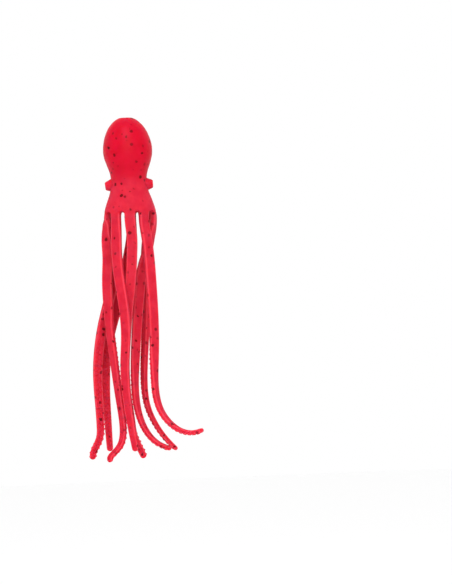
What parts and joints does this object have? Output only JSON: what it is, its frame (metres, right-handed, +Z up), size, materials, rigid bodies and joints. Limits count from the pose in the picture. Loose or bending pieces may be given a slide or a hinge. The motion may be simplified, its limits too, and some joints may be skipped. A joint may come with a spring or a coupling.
{
  "type": "octopus fishing lure",
  "caption": "Hollow soft-plastic octopus fishing lure with a line hole in its crown, blunt eye stubs, a flared skirt and flat tapering arms that bend.",
  "frame": {"origin": "mouth of the line hole at the crown, on the axis of the mantle and skirt", "axes": "+Z up along the axis, the arms hang to -Z; the front faces -Y; +X is the lure's right side seen from the front"},
  "size_m": [0.0401, 0.0302, 0.1193],
  "materials": {
    "soft_plastic": "glossy soft plastic with black flakes"
  },
  "bodies": {
    "mantle": {"mantle": "soft_plastic"},
    "skirt": {"skirt": "soft_plastic", "eye_left": "soft_plastic", "eye_right": "soft_plastic"},
    "arm_front_1": {"arm_front_1": "soft_plastic"},
    "arm_front_2": {"arm_front_2": "soft_plastic"},
    "arm_front_3": {"arm_front_3": "soft_plastic"},
    "arm_front_4": {"arm_front_4": "soft_plastic"},
    "arm_front_5": {"arm_front_5": "soft_plastic"},
    "arm_front_right_1": {"arm_front_right_1": "soft_plastic"},
    "arm_front_right_2": {"arm_front_right_2": "soft_plastic"},
    "arm_front_right_3": {"arm_front_right_3": "soft_plastic"},
    "arm_front_right_4": {"arm_front_right_4": "soft_plastic"},
    "arm_front_right_5": {"arm_front_right_5": "soft_plastic"},
    "arm_right_1": {"arm_right_1": "soft_plastic"},
    "arm_right_2": {"arm_right_2": "soft_plastic"},
    "arm_right_3": {"arm_right_3": "soft_plastic"},
    "arm_right_4": {"arm_right_4": "soft_plastic"},
    "arm_right_5": {"arm_right_5": "soft_plastic"},
    "arm_rear_right_1": {"arm_rear_right_1": "soft_plastic"},
    "arm_rear_right_2": {"arm_rear_right_2": "soft_plastic"},
    "arm_rear_right_3": {"arm_rear_right_3": "soft_plastic"},
    "arm_rear_right_4": {"arm_rear_right_4": "soft_plastic"},
    "arm_rear_right_5": {"arm_rear_right_5": "soft_plastic"},
    "arm_rear_1": {"arm_rear_1": "soft_plastic"},
    "arm_rear_2": {"arm_rear_2": "soft_plastic"},
    "arm_rear_3": {"arm_rear_3": "soft_plastic"},
    "arm_rear_4": {"arm_rear_4": "soft_plastic"},
    "arm_rear_5": {"arm_rear_5": "soft_plastic"},
    "arm_rear_left_1": {"arm_rear_left_1": "soft_plastic"},
    "arm_rear_left_2": {"arm_rear_left_2": "soft_plastic"},
    "arm_rear_left_3": {"arm_rear_left_3": "soft_plastic"},
    "arm_rear_left_4": {"arm_rear_left_4": "soft_plastic"},
    "arm_rear_left_5": {"arm_rear_left_5": "soft_plastic"},
    "arm_left_1": {"arm_left_1": "soft_plastic"},
    "arm_left_2": {"arm_left_2": "soft_plastic"},
    "arm_left_3": {"arm_left_3": "soft_plastic"},
    "arm_left_4": {"arm_left_4": "soft_plastic"},
    "arm_left_5": {"arm_left_5": "soft_plastic"},
    "arm_front_left_1": {"arm_front_left_1": "soft_plastic"},
    "arm_front_left_2": {"arm_front_left_2": "soft_plastic"},
    "arm_front_left_3": {"arm_front_left_3": "soft_plastic"},
    "arm_front_left_4": {"arm_front_left_4": "soft_plastic"},
    "arm_front_left_5": {"arm_front_left_5": "soft_plastic"}
  },
  "joints": [
    {"name": "neck_nod", "type": "hinge", "parent": "mantle", "child": "skirt", "pos_m": [0, 0, -0.0251], "axis": [1, 0, 0], "range_deg": [-15, 15], "stiffness_Nm_per_rad": 0.01},
    {"name": "arm_front_bend_1", "type": "hinge", "parent": "skirt", "child": "arm_front_1", "pos_m": [0, -0.008, -0.036], "axis": [-1, 0, 0], "range_deg": [-3, 0], "stiffness_Nm_per_rad": 0.0015},
    {"name": "arm_front_bend_2", "type": "hinge", "parent": "arm_front_1", "child": "arm_front_2", "pos_m": [-0.0003, -0.0061, -0.055], "axis": [-1, 0, 0], "range_deg": [-8, 0], "stiffness_Nm_per_rad": 0.001},
    {"name": "arm_front_bend_3", "type": "hinge", "parent": "arm_front_2", "child": "arm_front_3", "pos_m": [-0.0026, -0.0016, -0.0725], "axis": [-1, 0, 0], "range_deg": [-8, 0], "stiffness_Nm_per_rad": 0.0006},
    {"name": "arm_front_bend_4", "type": "hinge", "parent": "arm_front_3", "child": "arm_front_4", "pos_m": [-0.0037, -0.0002, -0.09], "axis": [-1, 0, 0], "range_deg": [-8, 0], "stiffness_Nm_per_rad": 0.0004},
    {"name": "arm_front_bend_5", "type": "hinge", "parent": "arm_front_4", "child": "arm_front_5", "pos_m": [-0.0025, 0, -0.106], "axis": [-1, 0, 0], "range_deg": [-8, 0], "stiffness_Nm_per_rad": 0.0002},
    {"name": "arm_front_right_bend_1", "type": "hinge", "parent": "skirt", "child": "arm_front_right_1", "pos_m": [0.00514, -0.00613, -0.036], "axis": [-0.766, -0.6428, 0], "range_deg": [0, 50], "stiffness_Nm_per_rad": 0.0015},
    {"name": "arm_front_right_bend_2", "type": "hinge", "parent": "arm_front_right_1", "child": "arm_front_right_2", "pos_m": [0.0067, -0.0076, -0.062], "axis": [-0.7193, -0.6947, 0], "range_deg": [0, 30], "stiffness_Nm_per_rad": 0.001},
    {"name": "arm_front_right_bend_3", "type": "hinge", "parent": "arm_front_right_2", "child": "arm_front_right_3", "pos_m": [0.0064, -0.0087, -0.09], "axis": [-0.6691, -0.7431, 0], "range_deg": [0, 30], "stiffness_Nm_per_rad": 0.0006},
    {"name": "arm_front_right_bend_4", "type": "hinge", "parent": "arm_front_right_3", "child": "arm_front_right_4", "pos_m": [0.009, -0.01, -0.1045], "axis": [-0.6428, -0.766, 0], "range_deg": [0, 30], "stiffness_Nm_per_rad": 0.0004},
    {"name": "arm_front_right_bend_5", "type": "hinge", "parent": "arm_front_right_4", "child": "arm_front_right_5", "pos_m": [0.0145, -0.0128, -0.11], "axis": [-0.6428, -0.766, 0], "range_deg": [0, 30], "stiffness_Nm_per_rad": 0.0002},
    {"name": "arm_right_bend_1", "type": "hinge", "parent": "skirt", "child": "arm_right_1", "pos_m": [0.00796, -0.00084, -0.036], "axis": [-0.1045, -0.9945, 0], "range_deg": [0, 50], "stiffness_Nm_per_rad": 0.0015},
    {"name": "arm_right_bend_2", "type": "hinge", "parent": "arm_right_1", "child": "arm_right_2", "pos_m": [0.0035, -0.0015, -0.053], "axis": [-0.2351, -0.972, 0], "range_deg": [0, 30], "stiffness_Nm_per_rad": 0.001},
    {"name": "arm_right_bend_3", "type": "hinge", "parent": "arm_right_2", "child": "arm_right_3", "pos_m": [0, -0.0025, -0.084], "axis": [-0.3616, -0.9323, 0], "range_deg": [0, 30], "stiffness_Nm_per_rad": 0.0006},
    {"name": "arm_right_bend_4", "type": "hinge", "parent": "arm_right_3", "child": "arm_right_4", "pos_m": [-0.0001, -0.0026, -0.1025], "axis": [-0.4226, -0.9063, 0], "range_deg": [0, 30], "stiffness_Nm_per_rad": 0.0004},
    {"name": "arm_right_bend_5", "type": "hinge", "parent": "arm_right_4", "child": "arm_right_5", "pos_m": [0.0043, -0.0026, -0.112], "axis": [-0.4226, -0.9063, 0], "range_deg": [0, 30], "stiffness_Nm_per_rad": 0.0002},
    {"name": "arm_rear_right_bend_1", "type": "hinge", "parent": "skirt", "child": "arm_rear_right_1", "pos_m": [0.00594, 0.00535, -0.036], "axis": [0.6691, -0.7431, 0], "range_deg": [0, 50], "stiffness_Nm_per_rad": 0.0015},
    {"name": "arm_rear_right_bend_2", "type": "hinge", "parent": "arm_rear_right_1", "child": "arm_rear_right_2", "pos_m": [0.0042, 0.0056, -0.06], "axis": [0.5764, -0.8171, 0], "range_deg": [0, 30], "stiffness_Nm_per_rad": 0.001},
    {"name": "arm_rear_right_bend_3", "type": "hinge", "parent": "arm_rear_right_2", "child": "arm_rear_right_3", "pos_m": [0.0027, 0.006, -0.085], "axis": [0.4756, -0.8796, 0], "range_deg": [0, 30], "stiffness_Nm_per_rad": 0.0006},
    {"name": "arm_rear_right_bend_4", "type": "hinge", "parent": "arm_rear_right_3", "child": "arm_rear_right_4", "pos_m": [0.0028, 0.0063, -0.098], "axis": [0.4226, -0.9063, 0], "range_deg": [0, 30], "stiffness_Nm_per_rad": 0.0004},
    {"name": "arm_rear_right_bend_5", "type": "hinge", "parent": "arm_rear_right_4", "child": "arm_rear_right_5", "pos_m": [0.0074, 0.0082, -0.1095], "axis": [0.4226, -0.9063, 0], "range_deg": [0, 30], "stiffness_Nm_per_rad": 0.0002},
    {"name": "arm_rear_bend_1", "type": "hinge", "parent": "skirt", "child": "arm_rear_1", "pos_m": [0, 0.008, -0.036], "axis": [1, 0, 0], "range_deg": [0, 50], "stiffness_Nm_per_rad": 0.0015},
    {"name": "arm_rear_bend_2", "type": "hinge", "parent": "arm_rear_1", "child": "arm_rear_2", "pos_m": [-0.0016, 0.0084, -0.0505], "axis": [0.9976, 0.0698, 0], "range_deg": [0, 30], "stiffness_Nm_per_rad": 0.001},
    {"name": "arm_rear_bend_3", "type": "hinge", "parent": "arm_rear_2", "child": "arm_rear_3", "pos_m": [-0.0091, 0.011, -0.0755], "axis": [0.9903, 0.1392, 0], "range_deg": [0, 30], "stiffness_Nm_per_rad": 0.0006},
    {"name": "arm_rear_bend_4", "type": "hinge", "parent": "arm_rear_3", "child": "arm_rear_4", "pos_m": [-0.0112, 0.012, -0.092], "axis": [0.9848, 0.1736, 0], "range_deg": [0, 30], "stiffness_Nm_per_rad": 0.0004},
    {"name": "arm_rear_bend_5", "type": "hinge", "parent": "arm_rear_4", "child": "arm_rear_5", "pos_m": [-0.0111, 0.0122, -0.104], "axis": [0.9848, 0.1736, 0], "range_deg": [0, 30], "stiffness_Nm_per_rad": 0.0002},
    {"name": "arm_rear_left_bend_1", "type": "hinge", "parent": "skirt", "child": "arm_rear_left_1", "pos_m": [-0.00594, 0.00535, -0.036], "axis": [0.6691, 0.7431, 0], "range_deg": [0, 50], "stiffness_Nm_per_rad": 0.0015},
    {"name": "arm_rear_left_bend_2", "type": "hinge", "parent": "arm_rear_left_1", "child": "arm_rear_left_2", "pos_m": [-0.0079, 0.0061, -0.057], "axis": [0.766, 0.6428, 0], "range_deg": [0, 30], "stiffness_Nm_per_rad": 0.001},
    {"name": "arm_rear_left_bend_3", "type": "hinge", "parent": "arm_rear_left_2", "child": "arm_rear_left_3", "pos_m": [-0.0126, 0.0062, -0.078], "axis": [0.848, 0.5299, 0], "range_deg": [0, 30], "stiffness_Nm_per_rad": 0.0006},
    {"name": "arm_rear_left_bend_4", "type": "hinge", "parent": "arm_rear_left_3", "child": "arm_rear_left_4", "pos_m": [-0.0138, 0.0061, -0.095], "axis": [0.8829, 0.4695, 0], "range_deg": [0, 30], "stiffness_Nm_per_rad": 0.0004},
    {"name": "arm_rear_left_bend_5", "type": "hinge", "parent": "arm_rear_left_4", "child": "arm_rear_left_5", "pos_m": [-0.0131, 0.006, -0.108], "axis": [0.8829, 0.4695, 0], "range_deg": [0, 30], "stiffness_Nm_per_rad": 0.0002},
    {"name": "arm_left_bend_1", "type": "hinge", "parent": "skirt", "child": "arm_left_1", "pos_m": [-0.00796, -0.00084, -0.036], "axis": [-0.1045, 0.9945, 0], "range_deg": [0, 50], "stiffness_Nm_per_rad": 0.0015},
    {"name": "arm_left_bend_2", "type": "hinge", "parent": "arm_left_1", "child": "arm_left_2", "pos_m": [-0.0092, -0.0008, -0.062], "axis": [-0.3355, 0.9421, 0], "range_deg": [0, 30], "stiffness_Nm_per_rad": 0.001},
    {"name": "arm_left_bend_3", "type": "hinge", "parent": "arm_left_2", "child": "arm_left_3", "pos_m": [-0.0078, -0.0014, -0.085], "axis": [-0.5476, 0.8368, 0], "range_deg": [0, 30], "stiffness_Nm_per_rad": 0.0006},
    {"name": "arm_left_bend_4", "type": "hinge", "parent": "arm_left_3", "child": "arm_left_4", "pos_m": [-0.0062, -0.0017, -0.1], "axis": [-0.6428, 0.766, 0], "range_deg": [0, 30], "stiffness_Nm_per_rad": 0.0004},
    {"name": "arm_left_bend_5", "type": "hinge", "parent": "arm_left_4", "child": "arm_left_5", "pos_m": [-0.0055, -0.0018, -0.11], "axis": [-0.6428, 0.766, 0], "range_deg": [0, 30], "stiffness_Nm_per_rad": 0.0002},
    {"name": "arm_front_left_bend_1", "type": "hinge", "parent": "skirt", "child": "arm_front_left_1", "pos_m": [-0.00492, -0.0063, -0.036], "axis": [-0.788, 0.6157, 0], "range_deg": [0, 50], "stiffness_Nm_per_rad": 0.0015},
    {"name": "arm_front_left_bend_2", "type": "hinge", "parent": "arm_front_left_1", "child": "arm_front_left_2", "pos_m": [-0.0044, -0.0066, -0.0585], "axis": [-0.829, 0.5592, 0], "range_deg": [0, 30], "stiffness_Nm_per_rad": 0.001},
    {"name": "arm_front_left_bend_3", "type": "hinge", "parent": "arm_front_left_2", "child": "arm_front_left_3", "pos_m": [-0.0032, -0.0072, -0.076], "axis": [-0.866, 0.5, 0], "range_deg": [0, 30], "stiffness_Nm_per_rad": 0.0006},
    {"name": "arm_front_left_bend_4", "type": "hinge", "parent": "arm_front_left_3", "child": "arm_front_left_4", "pos_m": [-0.0041, -0.0072, -0.093], "axis": [-0.8829, 0.4695, 0], "range_deg": [0, 30], "stiffness_Nm_per_rad": 0.0004},
    {"name": "arm_front_left_bend_5", "type": "hinge", "parent": "arm_front_left_4", "child": "arm_front_left_5", "pos_m": [-0.0029, -0.007, -0.106], "axis": [-0.8829, 0.4695, 0], "range_deg": [0, 30], "stiffness_Nm_per_rad": 0.0002}
  ]
}
